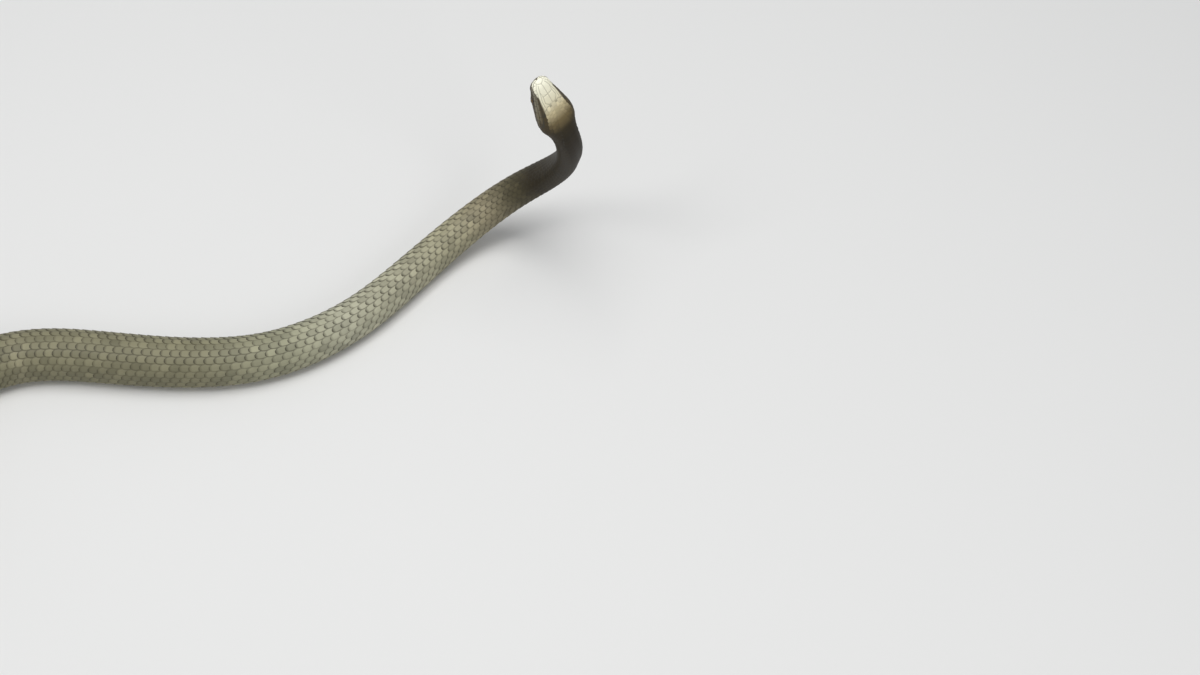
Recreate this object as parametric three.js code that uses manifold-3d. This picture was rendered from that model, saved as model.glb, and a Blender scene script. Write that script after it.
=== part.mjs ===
// King cobra, Ophiophagus hannah, adult, life size, as a still model.
// The front of the body is raised off the floor and the rest lies in loose bends.
// Millimetres, +Z up. The origin is on the flat of the belly, on the centreline,
// where the body lies on the floor just behind the raised front.

import * as THREE from 'three';
import Module from 'manifold-3d';
import { mergeVertices } from 'three/addons/utils/BufferGeometryUtils.js';

const wasm = await Module();
wasm.setup();

// Driving dimensions. Every "at" value is a distance along the body from the snout.
const totalLength = 3900;
const headEndAt = 88;
const neckEndAt = 290;
const raisedLengths = [290, 430, 570];
const liftOffAt = 570;
const ventAt = 3120;
const lyingTrunkLengths = 13;
const tailLengths = 4;
const originAt = 640;
const originHeading = 43.4;
const jointGap = 0.3;

// Centreline as rates of turn in degrees for each 100 mm of body, with a straight
// change between stations: at, turn to the animal's left, turn upward, twist.
const turnStations = [
  [0, 0, 0, 0],
  [60, 0, 0, 0],
  [80, 26, 62, 0],
  [100, 15, 52, -11],
  [130, 7, 38, -18],
  [165, 1, 25, -20],
  [215, -7, 23, -19],
  [280, -18, 29, -14],
  [350, -33, 29, -5],
  [430, -25, 29, 0],
  [510, -11, 16, 0],
  [liftOffAt, 2, 0, 0],
  [630, 16, 0, 0],
  [700, 18, 0, 0],
  [780, 25, 0, 0],
  [860, 12, 0, 0],
  [980, 0, 0, 0],
  [1090, -36, 0, 0],
  [1230, -46, 0, 0],
  [1340, -4, 0, 0],
  [1420, 38, 0, 0],
  [1570, 50, 0, 0],
  [1720, 42, 0, 0],
  [1830, 4, 0, 0],
  [2050, -6, 0, 0],
  [2160, -42, 0, 0],
  [2300, -54, 0, 0],
  [2440, -44, 0, 0],
  [2560, 0, 0, 0],
  [2680, 4, 0, 0],
  [2780, 14, 0, 0],
  [2890, 46, 0, 0],
  [3010, 60, 0, 0],
  [3120, 44, 0, 0],
  [3220, 2, 0, 0],
  [3340, -26, 0, 0],
  [3480, -52, 0, 0],
  [3640, -58, 0, 0],
  [totalLength, -30, 0, 0],
];

// Cross-section along the body: at, half width, height of the back, height of the
// underside, height of the widest line, power of the upper and of the lower curve,
// and how far the belly is pressed flat. Heights are over the belly line.
const sectionStations = [
  [0, 13.2, 18.6, 3.0, 9.2, 2.5, 2.2, 1.0],
  [11, 13.9, 21.2, 2.0, 8.7, 2.7, 2.3, 1.0],
  [18, 15.2, 23.4, 1.2, 8.8, 2.9, 2.4, 1.0],
  [25, 17.2, 25.8, 0.6, 9.3, 3.0, 2.4, 1.0],
  [36, 20.2, 27.8, 0.2, 10.1, 2.9, 2.5, 1.01],
  [49, 23.2, 29.4, 0.0, 11.2, 2.7, 2.5, 1.02],
  [60, 24.8, 30.4, 0.0, 12.2, 2.5, 2.5, 1.02],
  [70, 24.2, 30.8, 0.0, 13.2, 2.4, 2.5, 1.02],
  [81, 20.8, 30.6, 0.0, 14.0, 2.3, 2.4, 1.02],
  [headEndAt + 6, 18.2, 30.2, 0.0, 14.6, 2.2, 2.4, 1.03],
  [115, 17.0, 30.2, 0.0, 14.8, 2.1, 2.4, 1.03],
  [160, 17.4, 31.0, 0.0, 15.2, 2.1, 2.4, 1.03],
  [215, 18.8, 33.2, 0.0, 16.0, 2.1, 2.4, 1.03],
  [neckEndAt, 20.8, 36.6, 0.0, 17.2, 2.1, 2.4, 1.03],
  [430, 23.2, 41.0, 0.0, 19.2, 2.1, 2.5, 1.05],
  [liftOffAt, 24.8, 43.6, 0.0, 20.0, 2.1, 2.6, 1.08],
  [640, 26.2, 45.8, 0.0, 20.8, 2.1, 2.6, 1.08],
  [740, 29.0, 50.4, 0.0, 22.6, 2.1, 2.6, 1.08],
  [860, 31.8, 54.8, 0.0, 24.4, 2.1, 2.6, 1.08],
  [1000, 33.2, 57.2, 0.0, 25.4, 2.1, 2.6, 1.08],
  [1500, 34.8, 59.6, 0.0, 26.2, 2.1, 2.6, 1.08],
  [2100, 35.0, 60.0, 0.0, 26.4, 2.1, 2.6, 1.08],
  [2700, 31.0, 53.6, 0.0, 23.8, 2.1, 2.6, 1.08],
  [3000, 25.6, 45.0, 0.0, 20.2, 2.1, 2.6, 1.08],
  [ventAt, 22.6, 39.4, 0.0, 18.0, 2.1, 2.6, 1.08],
  [3180, 19.8, 34.8, 0.0, 16.0, 2.1, 2.5, 1.08],
  [3400, 14.4, 25.8, 0.0, 12.0, 2.1, 2.5, 1.08],
  [3700, 7.4, 13.6, 0.0, 6.4, 2.1, 2.4, 1.08],
  [totalLength, 2.2, 4.2, 0.0, 2.0, 2.0, 2.2, 1.08],
];
const noseRound = 12;
const nosePower = 2.35;
const tipRound = 7;
const chinSetback = 2.3;
const chinReach = 13;

// Swellings and hollows of the head: at, angle from the midline of the back in
// degrees, height, reach along and reach round. Each is on both sides.
const headRelief = [
  [23.5, 50, 0.8, 6.0, 11],
  [14.5, 74, -0.8, 4.5, 15],
  [58, 78, 1.0, 12.0, 24],
  [54, 0, -0.45, 11.0, 14],
  [34, 180, -0.6, 14.0, 12],
];

// Eyes
const eyeAt = 24.8;
const eyeAngle = 71;
const eyeRadius = 4.3;
const eyeStandOut = 1.5;
const socketGap = 0.3;

// How finely the surfaces are divided
const centrelineStep = 5;
const bodySides = 18;
const bodyRingStep = 25;
const headSides = 28;
const headRingStep = 4.2;
const noseRings = 7;
const eyeSides = 18;
const eyeRings = 10;

const degree = Math.PI / 180;

// Reads a table of stations at one distance, with a straight change between rows.
function readStraight(stations, at) {
  let row = 0;
  while (row < stations.length - 2 && at > stations[row + 1][0]) row += 1;
  const [low, high] = [stations[row], stations[row + 1]];
  const share = (at - low[0]) / (high[0] - low[0]);
  return low.map((value, column) => value + (high[column] - value) * share);
}

// The slope of a smooth curve at one row, level wherever the table turns back.
function rowSlope(stations, row, column) {
  if (row === 0 || row === stations.length - 1) return 0;
  const [before, here, after] = [stations[row - 1], stations[row], stations[row + 1]];
  const rise = (here[column] - before[column]) / (here[0] - before[0]);
  const fall = (after[column] - here[column]) / (after[0] - here[0]);
  return rise * fall <= 0 ? 0 : (2 * rise * fall) / (rise + fall);
}

// Reads a table of stations at one distance as a smooth curve without overshoot.
function readSmooth(stations, at) {
  let row = 0;
  while (row < stations.length - 2 && at > stations[row + 1][0]) row += 1;
  const [low, high] = [stations[row], stations[row + 1]];
  const span = high[0] - low[0];
  const t = Math.min(1, Math.max(0, (at - low[0]) / span));
  return low.map((value, column) => {
    const leave = rowSlope(stations, row, column) * span;
    const arrive = rowSlope(stations, row + 1, column) * span;
    const rise = high[column] - value;
    return value + t * leave
      + t * t * (3 * rise - 2 * leave - arrive)
      + t * t * t * (leave + arrive - 2 * rise);
  });
}

// Turns a frame (ahead, back) through a short length of body.
function turnFrame(frame, at, length) {
  const [, left, up, twist] = readStraight(turnStations, at);
  const side = new THREE.Vector3().crossVectors(frame.back, frame.ahead);
  const axis = frame.back.clone().multiplyScalar(left)
    .addScaledVector(side, -up)
    .addScaledVector(frame.ahead, twist);
  const rate = axis.length();
  if (rate < 1e-9) return frame;
  axis.normalize();
  const angle = rate * degree * length / 100;
  return {
    ahead: frame.ahead.clone().applyAxisAngle(axis, angle),
    back: frame.back.clone().applyAxisAngle(axis, angle),
  };
}

// Walks the belly line from the origin to one end of the animal.
function walkBelly(endAt) {
  const heading = originHeading * degree;
  let frame = {
    ahead: new THREE.Vector3(Math.cos(heading), Math.sin(heading), 0),
    back: new THREE.Vector3(0, 0, 1),
  };
  const place = new THREE.Vector3();
  const walked = [{ at: originAt, place: place.clone(), ...frame }];
  const steps = Math.round(Math.abs(endAt - originAt) / centrelineStep);
  const advance = (originAt - endAt) / steps;
  for (let step = 0; step < steps; step += 1) {
    const middleAt = originAt - (step + 0.5) * advance;
    const middle = turnFrame(frame, middleAt, advance / 2);
    place.addScaledVector(middle.ahead, advance);
    frame = turnFrame(frame, middleAt, advance);
    walked.push({ at: originAt - (step + 1) * advance, place: place.clone(), ...frame });
  }
  return walked;
}

const bellyLine = [...walkBelly(0).reverse(), ...walkBelly(totalLength).slice(1)];

// Place and frame of the belly line at one distance.
function bellyFrame(at) {
  const index = Math.min(bellyLine.length - 2, Math.max(0, Math.floor(at / centrelineStep)));
  const [low, high] = [bellyLine[index], bellyLine[index + 1]];
  const share = (at - low.at) / (high.at - low.at);
  const ahead = low.ahead.clone().lerp(high.ahead, share).normalize();
  const back = low.back.clone().lerp(high.back, share);
  back.addScaledVector(ahead, -back.dot(ahead)).normalize();
  return {
    place: low.place.clone().lerp(high.place, share),
    ahead,
    back,
    left: new THREE.Vector3().crossVectors(back, ahead),
  };
}

// Rounds off the two ends of the animal: 0 at the very tip, 1 on the full section.
function endRounding(at) {
  const nose = Math.min(1, at / noseRound);
  const tip = Math.min(1, (totalLength - at) / tipRound);
  const noseShare = (1 - (1 - nose) ** nosePower) ** (1 / nosePower);
  const tipShare = Math.sqrt(Math.max(0, 1 - (1 - tip) ** 2));
  return noseShare * tipShare;
}

// Height of the head's swellings and hollows at one distance and angle in degrees.
function reliefAt(at, angle) {
  let height = 0;
  for (const [centreAt, centreAngle, top, reachAlong, reachRound] of headRelief) {
    const along = (at - centreAt) / reachAlong;
    const round = (Math.abs(angle) - centreAngle) / reachRound;
    height += top * Math.exp(-(along * along + round * round) / 2);
  }
  return height;
}

// One point of a cross-section: offset to the left and height over the belly line.
// The angle runs from 0 on the midline of the back to 180 on the belly.
function sectionPoint(at, angle) {
  const [, width, top, under, waist, upperPower, lowerPower, press] =
    readSmooth(sectionStations, at);
  const rounding = endRounding(at);
  const cosine = Math.cos(angle * degree);
  const sine = Math.sin(angle * degree);
  const power = 2 / (cosine > 0 ? upperPower : lowerPower);
  const reach = cosine > 0 ? top - waist : (under - waist) * press;
  const across = Math.sign(sine) * Math.abs(sine) ** power * width;
  const height = reach * Math.abs(cosine) ** power;
  const swell = reliefAt(at, angle);
  return {
    across: across * rounding + swell * sine * rounding,
    height: Math.max(under, waist + (height + swell * cosine) * rounding),
  };
}

// How far a point of the chin lies behind the snout, which overhangs it.
function setback(at, height) {
  const below = Math.max(0, 1 - height / sectionStations[0][4]);
  return chinSetback * below * Math.exp(-at / chinReach);
}

function surfacePoint(at, angle) {
  const frame = bellyFrame(at);
  const { across, height } = sectionPoint(at, angle);
  return frame.place.clone()
    .addScaledVector(frame.left, across)
    .addScaledVector(frame.back, height)
    .addScaledVector(frame.ahead, -setback(at, height));
}

// A closed length of the body, lofted through rings at the given distances.
// A ring at either tip of the animal shrinks to a single point.
function loftGeometry(rings, sides) {
  const positions = [];
  const faces = [];
  const ringStarts = [];
  for (const at of rings) {
    ringStarts.push(positions.length / 3);
    const isTip = at === 0 || at === totalLength;
    const count = isTip ? 1 : sides;
    for (let side = 0; side < count; side += 1) {
      const angle = (side + 0.5) * 360 / sides;
      const signed = angle > 180 ? angle - 360 : angle;
      positions.push(...surfacePoint(at, signed).toArray());
    }
  }
  const corner = (ring, side) => {
    const isTip = rings[ring] === 0 || rings[ring] === totalLength;
    return ringStarts[ring] + (isTip ? 0 : side % sides);
  };
  for (let ring = 0; ring < rings.length - 1; ring += 1) {
    for (let side = 0; side < sides; side += 1) {
      const [a, b] = [corner(ring, side), corner(ring, side + 1)];
      const [c, d] = [corner(ring + 1, side), corner(ring + 1, side + 1)];
      if (a !== b) faces.push(a, b, d);
      if (c !== d) faces.push(a, d, c);
    }
  }
  const last = rings.length - 1;
  for (let side = 1; side < sides - 1; side += 1) {
    if (rings[0] !== 0) faces.push(corner(0, 0), corner(0, side + 1), corner(0, side));
    if (rings[last] !== totalLength) {
      faces.push(corner(last, 0), corner(last, side), corner(last, side + 1));
    }
  }
  const geometry = new THREE.BufferGeometry();
  geometry.setAttribute('position', new THREE.Float32BufferAttribute(positions, 3));
  geometry.setIndex(faces);
  return geometry;
}

// Distances of the rings between two ends, evenly spread.
function evenRings(startAt, endAt, step) {
  const count = Math.max(1, Math.round((endAt - startAt) / step));
  return Array.from({ length: count + 1 }, (_, index) =>
    startAt + (endAt - startAt) * index / count);
}

function toManifold(geometry) {
  const bare = geometry.clone();
  bare.deleteAttribute('normal');
  bare.deleteAttribute('uv');
  const merged = mergeVertices(bare, 1e-4);
  return new wasm.Manifold(new wasm.Mesh({
    numProp: 3,
    vertProperties: new Float32Array(merged.attributes.position.array),
    triVerts: new Uint32Array(merged.index.array),
  }));
}

function toGeometry(solid) {
  const mesh = solid.getMesh();
  const geometry = new THREE.BufferGeometry();
  geometry.setAttribute('position', new THREE.BufferAttribute(mesh.vertProperties, 3));
  geometry.setIndex(new THREE.BufferAttribute(mesh.triVerts, 1));
  geometry.computeVertexNormals();
  return geometry;
}

const skinMaterial = () => new THREE.MeshStandardMaterial({
  color: 0x86806a, roughness: 0.5, metalness: 0,
});
const headMaterial = () => new THREE.MeshStandardMaterial({
  color: 0x6b5f45, roughness: 0.45, metalness: 0,
});
const eyeMaterial = () => new THREE.MeshStandardMaterial({
  color: 0x2a1c10, roughness: 0.1, metalness: 0,
});

function namedMesh(name, geometry, material) {
  const mesh = new THREE.Mesh(geometry, material);
  mesh.name = name;
  return mesh;
}

// Centre of one eye: under the surface, so that only its outer cap stands out.
function eyeCentre(sign) {
  const middle = surfacePoint(eyeAt, sign * eyeAngle);
  const ahead = surfacePoint(eyeAt - 1, sign * eyeAngle).sub(middle);
  const around = surfacePoint(eyeAt, sign * (eyeAngle + 2)).sub(middle);
  const outward = new THREE.Vector3().crossVectors(ahead, around).normalize();
  const middleOfHead = surfacePoint(eyeAt, 0).lerp(surfacePoint(eyeAt, 180), 0.5);
  if (outward.dot(middle.clone().sub(middleOfHead)) < 0) outward.negate();
  return middle.addScaledVector(outward, eyeStandOut - eyeRadius);
}

function buildEyes() {
  return [['eye_left', 1], ['eye_right', -1]].map(([name, sign]) => {
    const ball = new THREE.SphereGeometry(eyeRadius, eyeSides, eyeRings);
    const mesh = namedMesh(name, ball, eyeMaterial());
    mesh.position.copy(eyeCentre(sign));
    return mesh;
  });
}

function buildHead() {
  const nose = Array.from({ length: noseRings }, (_, ring) =>
    noseRound * (1 - Math.cos(ring / noseRings * Math.PI / 2)));
  const rings = [...nose, ...evenRings(noseRound, headEndAt, headRingStep)];
  let head = toManifold(loftGeometry(rings, headSides));
  for (const sign of [1, -1]) {
    const socket = new THREE.SphereGeometry(eyeRadius + socketGap, eyeSides, eyeRings);
    socket.translate(...eyeCentre(sign).toArray());
    head = head.subtract(toManifold(socket));
  }
  return namedMesh('head', toGeometry(head), headMaterial());
}

function buildLength(name, startAt, endAt) {
  const endGap = endAt === totalLength ? 0 : jointGap;
  const rings = evenRings(startAt, endAt - endGap, bodyRingStep);
  const geometry = loftGeometry(rings, bodySides);
  geometry.computeVertexNormals();
  return namedMesh(name, geometry, skinMaterial());
}

function buildNeck() {
  const rings = evenRings(headEndAt + jointGap, neckEndAt - jointGap, bodyRingStep / 2);
  const geometry = loftGeometry(rings, bodySides);
  geometry.computeVertexNormals();
  return namedMesh('neck', geometry, skinMaterial());
}

// The raised lengths, then the lying ones: trunk_01 starts behind the neck.
function buildTrunk() {
  const ends = [...raisedLengths];
  for (let length = 1; length <= lyingTrunkLengths; length += 1) {
    ends.push(liftOffAt + (ventAt - liftOffAt) * length / lyingTrunkLengths);
  }
  return ends.slice(1).map((endAt, index) =>
    buildLength(`trunk_${String(index + 1).padStart(2, '0')}`, ends[index], endAt));
}

function buildTail() {
  return Array.from({ length: tailLengths }, (_, index) => {
    const startAt = ventAt + (totalLength - ventAt) * index / tailLengths;
    const endAt = ventAt + (totalLength - ventAt) * (index + 1) / tailLengths;
    return buildLength(`tail_${index + 1}`, startAt, endAt);
  });
}

const cobra = new THREE.Group();
cobra.add(buildHead(), ...buildEyes(), buildNeck(), ...buildTrunk(), ...buildTail());

export default cobra;
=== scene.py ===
import math
import bpy
import numpy as np
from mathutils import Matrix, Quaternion, Vector, kdtree


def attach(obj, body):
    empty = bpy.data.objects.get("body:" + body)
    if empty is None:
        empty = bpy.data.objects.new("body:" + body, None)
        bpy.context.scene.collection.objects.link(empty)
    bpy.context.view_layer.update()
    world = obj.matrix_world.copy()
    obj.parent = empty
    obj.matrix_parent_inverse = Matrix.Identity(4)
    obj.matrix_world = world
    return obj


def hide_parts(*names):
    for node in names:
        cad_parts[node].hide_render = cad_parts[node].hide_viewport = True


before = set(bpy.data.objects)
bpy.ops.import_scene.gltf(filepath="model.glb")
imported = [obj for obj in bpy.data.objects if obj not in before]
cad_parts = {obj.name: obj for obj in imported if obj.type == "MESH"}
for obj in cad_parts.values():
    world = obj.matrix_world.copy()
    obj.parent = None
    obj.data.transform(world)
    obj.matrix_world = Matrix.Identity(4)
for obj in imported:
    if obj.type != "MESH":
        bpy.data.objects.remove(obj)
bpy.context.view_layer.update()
mm = 0.001
degree = math.pi / 180
dice = np.random.default_rng(11)
print("read the frame, with", len(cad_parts), "nodes")

# The animal's measures in millimetres, the same as the solids have.
# Every "at" is a distance along the body from the snout.
cobra = {
    "length": 3900,
    "liftOffAt": 570,
    "originAt": 640,
    "originHeading": 43.4,
    "noseRound": 12,
    "nosePower": 2.35,
    "tipRound": 7,
    "chinSetback": 2.3,
    "chinReach": 13,
    "walkStep": 5,
    "shortStep": 0.3,
    "shortTurn": 0.8,
    "coatEndsBefore": 0.6,
}

# at, turn to the animal's left, turn upward, twist, in degrees for each 100 mm
turnStations = np.array([
    [0, 0, 0, 0], [60, 0, 0, 0], [80, 26, 62, 0], [100, 15, 52, -11], [130, 7, 38, -18],
    [165, 1, 25, -20], [215, -7, 23, -19], [280, -18, 29, -14], [350, -33, 29, -5],
    [430, -25, 29, 0], [510, -11, 16, 0], [570, 2, 0, 0], [630, 16, 0, 0], [700, 18, 0, 0],
    [780, 25, 0, 0], [860, 12, 0, 0], [980, 0, 0, 0], [1090, -36, 0, 0], [1230, -46, 0, 0],
    [1340, -4, 0, 0], [1420, 38, 0, 0], [1570, 50, 0, 0], [1720, 42, 0, 0], [1830, 4, 0, 0],
    [2050, -6, 0, 0], [2160, -42, 0, 0], [2300, -54, 0, 0], [2440, -44, 0, 0], [2560, 0, 0, 0],
    [2680, 4, 0, 0], [2780, 14, 0, 0], [2890, 46, 0, 0], [3010, 60, 0, 0], [3120, 44, 0, 0],
    [3220, 2, 0, 0], [3340, -26, 0, 0], [3480, -52, 0, 0], [3640, -58, 0, 0], [3900, -30, 0, 0],
], float)

# at, half width, back, underside, widest line, upper power, lower power, press of the belly
sectionStations = np.array([
    [0, 13.2, 18.6, 3.0, 9.2, 2.5, 2.2, 1.0],
    [11, 13.9, 21.2, 2.0, 8.7, 2.7, 2.3, 1.0],
    [18, 15.2, 23.4, 1.2, 8.8, 2.9, 2.4, 1.0],
    [25, 17.2, 25.8, 0.6, 9.3, 3.0, 2.4, 1.0],
    [36, 20.2, 27.8, 0.2, 10.1, 2.9, 2.5, 1.01],
    [49, 23.2, 29.4, 0.0, 11.2, 2.7, 2.5, 1.02],
    [60, 24.8, 30.4, 0.0, 12.2, 2.5, 2.5, 1.02],
    [70, 24.2, 30.8, 0.0, 13.2, 2.4, 2.5, 1.02],
    [81, 20.8, 30.6, 0.0, 14.0, 2.3, 2.4, 1.02],
    [94, 18.2, 30.2, 0.0, 14.6, 2.2, 2.4, 1.03],
    [115, 17.0, 30.2, 0.0, 14.8, 2.1, 2.4, 1.03],
    [160, 17.4, 31.0, 0.0, 15.2, 2.1, 2.4, 1.03],
    [215, 18.8, 33.2, 0.0, 16.0, 2.1, 2.4, 1.03],
    [290, 20.8, 36.6, 0.0, 17.2, 2.1, 2.4, 1.03],
    [430, 23.2, 41.0, 0.0, 19.2, 2.1, 2.5, 1.05],
    [570, 24.8, 43.6, 0.0, 20.0, 2.1, 2.6, 1.08],
    [640, 26.2, 45.8, 0.0, 20.8, 2.1, 2.6, 1.08],
    [740, 29.0, 50.4, 0.0, 22.6, 2.1, 2.6, 1.08],
    [860, 31.8, 54.8, 0.0, 24.4, 2.1, 2.6, 1.08],
    [1000, 33.2, 57.2, 0.0, 25.4, 2.1, 2.6, 1.08],
    [1500, 34.8, 59.6, 0.0, 26.2, 2.1, 2.6, 1.08],
    [2100, 35.0, 60.0, 0.0, 26.4, 2.1, 2.6, 1.08],
    [2700, 31.0, 53.6, 0.0, 23.8, 2.1, 2.6, 1.08],
    [3000, 25.6, 45.0, 0.0, 20.2, 2.1, 2.6, 1.08],
    [3120, 22.6, 39.4, 0.0, 18.0, 2.1, 2.6, 1.08],
    [3180, 19.8, 34.8, 0.0, 16.0, 2.1, 2.5, 1.08],
    [3400, 14.4, 25.8, 0.0, 12.0, 2.1, 2.5, 1.08],
    [3700, 7.4, 13.6, 0.0, 6.4, 2.1, 2.4, 1.08],
    [3900, 2.2, 4.2, 0.0, 2.0, 2.0, 2.2, 1.08],
], float)

# at, angle from the midline of the back, height, reach along, reach round
headRelief = [
    [23.5, 50, 0.8, 6, 11],
    [14.5, 74, -0.8, 4.5, 15],
    [58, 78, 1, 12, 24],
    [54, 0, -0.45, 11, 14],
    [34, 180, -0.6, 14, 12],
]


def smoothTable(stations):
    # slopes of a smooth curve through each column, level wherever the column turns back
    x, y = stations[:, 0], stations[:, 1:]
    rise = np.diff(y, axis=0) / np.diff(x)[:, None]
    product, total = rise[:-1] * rise[1:], rise[:-1] + rise[1:]
    slope = np.zeros_like(y)
    slope[1:-1] = np.where(product > 0, 2 * product / np.where(total == 0, 1, total), 0)
    return x, y, slope


sectionTable = smoothTable(sectionStations)


def readSmooth(table, at):
    x, y, slope = table
    row = np.clip(np.searchsorted(x, at) - 1, 0, len(x) - 2)
    span = (x[row + 1] - x[row])[..., None]
    t = np.clip((at - x[row])[..., None] / span, 0, 1)
    leave, arrive, rise = slope[row] * span, slope[row + 1] * span, y[row + 1] - y[row]
    return y[row] + t * (leave + t * (3 * rise - 2 * leave - arrive
                                      + t * (leave + arrive - 2 * rise)))


def turned(ahead, back, at, length):
    left, up, twist = (np.interp(at, turnStations[:, 0], turnStations[:, k]) for k in (1, 2, 3))
    axis = back * left - back.cross(ahead) * up + ahead * twist
    if axis.length < 1e-9:
        return ahead, back
    turn = Quaternion(axis.normalized(), axis.length * degree * length / 100)
    return turn @ ahead, turn @ back


def walkBelly(endAt):
    heading = cobra["originHeading"] * degree
    ahead, back = Vector((math.cos(heading), math.sin(heading), 0)), Vector((0, 0, 1))
    place, at = Vector((0, 0, 0)), cobra["originAt"]
    steps = round(abs(endAt - at) / cobra["walkStep"])
    advance = (at - endAt) / steps
    walked = [(*place, *ahead, *back)]
    for step in range(steps):
        middleAt = at - (step + 0.5) * advance
        place = place + turned(ahead, back, middleAt, advance / 2)[0] * advance
        ahead, back = turned(ahead, back, middleAt, advance)
        walked.append((*place, *ahead, *back))
    return np.array(walked)


bellyLine = np.concatenate([walkBelly(0)[::-1], walkBelly(cobra["length"])[1:]])


def unit(vectors):
    return vectors / np.maximum(np.linalg.norm(vectors, axis=-1, keepdims=True), 1e-12)


def bellyFrame(at):
    row = np.clip((at / cobra["walkStep"]).astype(int), 0, len(bellyLine) - 2)
    share = (at / cobra["walkStep"] - row)[..., None]
    mixed = bellyLine[row] * (1 - share) + bellyLine[row + 1] * share
    place, ahead, back = mixed[..., :3], unit(mixed[..., 3:6]), mixed[..., 6:]
    back = unit(back - ahead * (back * ahead).sum(-1, keepdims=True))
    return place, ahead, back, np.cross(back, ahead)


def sectionPoint(at, angle):
    width, top, under, waist, upper, lower, press = np.moveaxis(readSmooth(sectionTable, at), -1, 0)
    nose = np.clip(at / cobra["noseRound"], 0, 1)
    tip = np.clip((cobra["length"] - at) / cobra["tipRound"], 0, 1)
    rounding = (1 - (1 - nose) ** cobra["nosePower"]) ** (1 / cobra["nosePower"])
    rounding = rounding * np.sqrt(1 - (1 - tip) ** 2)
    cosine, sine = np.cos(angle * degree), np.sin(angle * degree)
    power = 2 / np.where(cosine > 0, upper, lower)
    reach = np.where(cosine > 0, top - waist, (under - waist) * press)
    swell = sum(height * np.exp(-(((at - centreAt) / along) ** 2
                                  + ((np.abs(angle) - centreAngle) / round_) ** 2) / 2)
                for centreAt, centreAngle, height, along, round_ in headRelief)
    across = np.sign(sine) * np.abs(sine) ** power * width + swell * sine
    height = waist + (reach * np.abs(cosine) ** power + swell * cosine) * rounding
    return across * rounding, np.maximum(under, height)


def surface(at, angle):
    at, angle = np.broadcast_arrays(np.asarray(at, float), np.asarray(angle, float))
    place, ahead, back, left = bellyFrame(at)
    across, height = sectionPoint(at, angle)
    below = np.clip(1 - height / sectionStations[0, 4], 0, None)
    setback = cobra["chinSetback"] * below * np.exp(-at / cobra["chinReach"])
    return (place + left * across[..., None] + back * height[..., None]
            - ahead * setback[..., None])


def outward(at, angle):
    # the surface's own direction outward, from two short steps across it
    step, turn = cobra["shortStep"], cobra["shortTurn"]
    nearAt = np.clip(at, step, cobra["length"] - step)
    along = surface(nearAt + step, angle) - surface(nearAt - step, angle)
    around = surface(nearAt, angle + turn) - surface(nearAt, angle - turn)
    return unit(np.cross(around, along))


# Tables of how far round the section an angle is, as a share from the back to the belly
shareStations = np.concatenate([[0.2], np.arange(1, 120, 1.0),
                                np.arange(120, cobra["length"] - 10, 10.0),
                                [cobra["length"] - 7, cobra["length"] - 2]])
tableAngles = np.linspace(0, 180, 181)
across, height = sectionPoint(shareStations[:, None] + 0 * tableAngles, tableAngles[None, :])
arc = np.cumsum(np.hypot(np.diff(across, axis=1, prepend=across[:, :1]),
                         np.diff(height, axis=1, prepend=height[:, :1])), axis=1)
shareTable = arc / arc[:, -1:]
angleTable = np.array([np.interp(np.linspace(0, 1, len(tableAngles)), row, tableAngles)
                       for row in shareTable])
print("measured the body,", len(bellyLine), "steps long")


def readGrid(table, at, column):
    # the value between four entries of a table, for a distance along and a column
    row = np.interp(at, shareStations, np.arange(len(shareStations)))
    low = np.clip(row.astype(int), 0, len(shareStations) - 2)
    left = np.clip(column.astype(int), 0, table.shape[1] - 2)
    s, t = row - low, column - left
    return ((table[low, left] * (1 - t) + table[low, left + 1] * t) * (1 - s)
            + (table[low + 1, left] * (1 - t) + table[low + 1, left + 1] * t) * s)


def angleOf(at, share):
    return np.sign(share) * readGrid(angleTable, at, np.clip(np.abs(share), 0, 1) * 180)


def shareOf(at, angle):
    return np.sign(angle) * readGrid(shareTable, at, np.clip(np.abs(angle), 0, 180))


def stretch(x, low, high):
    t = np.clip((x - low) / (high - low), 0, 1)
    return t * t * (3 - 2 * t)


# How deep the scales lie over the skin
coat = {
    "at": [0, 28, 36, 66, 110, 300, 600, 2700, 3120, 3500, 3800, 3900],
    "depth": [0.32, 0.32, 0.46, 0.52, 0.68, 0.95, 1.15, 1.15, 0.9, 0.6, 0.32, 0.2],
}


def coatDepth(at):
    return np.interp(at, coat["at"], coat["depth"])


# Where the dorsal rows end and the belly plates begin, as a share of the half girth
bellyEdge = {
    "at": [34, 44, 52, 60, 70, 85, 100, 200, 600, 3120, 3300, 3900],
    "share": [0.955, 0.955, 0.935, 0.90, 0.86, 0.79, 0.72, 0.70, 0.73, 0.73, 0.70, 0.66],
}


def dorsalShare(at):
    return np.interp(at, bellyEdge["at"], bellyEdge["share"])


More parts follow.
